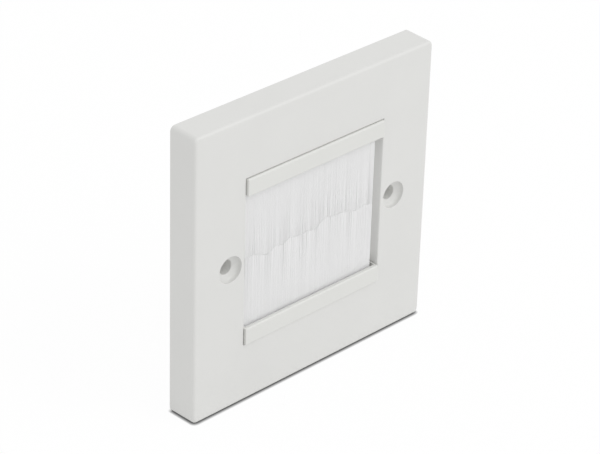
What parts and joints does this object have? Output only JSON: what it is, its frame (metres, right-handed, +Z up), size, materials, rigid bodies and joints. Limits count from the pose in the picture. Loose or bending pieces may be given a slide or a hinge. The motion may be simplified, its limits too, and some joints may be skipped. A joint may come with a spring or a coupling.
{
  "type": "brush wall plate",
  "caption": "Square white single-gang wall plate whose square aperture is closed by facing rows of bristles held in proud clip-in bars, with recessed screw holes left and right.",
  "frame": {"origin": "middle of the plate on the wall plane, midway between the two fixing holes", "axes": "+X to the right as seen from the front, +Z up, +Y into the wall; the face looks along -Y"},
  "size_m": [0.086, 0.0108, 0.086],
  "materials": {
    "plate_plastic": "moulded white plastic, satin",
    "bar_plastic": "moulded off-white plastic, satin",
    "channel_metal": "folded sheet, mill finish",
    "wire_steel": "drawn wire",
    "bristle_nylon": "fine white nylon filaments"
  },
  "bodies": {
    "root": {"face_plate": "plate_plastic", "upper_brush_bar": "bar_plastic", "lower_brush_bar": "bar_plastic", "upper_clamp_channel": "channel_metal", "lower_clamp_channel": "channel_metal", "upper_core_wire": "wire_steel", "lower_core_wire": "wire_steel", "upper_bristles": "bristle_nylon", "lower_bristles": "bristle_nylon"}
  },
  "joints": []
}
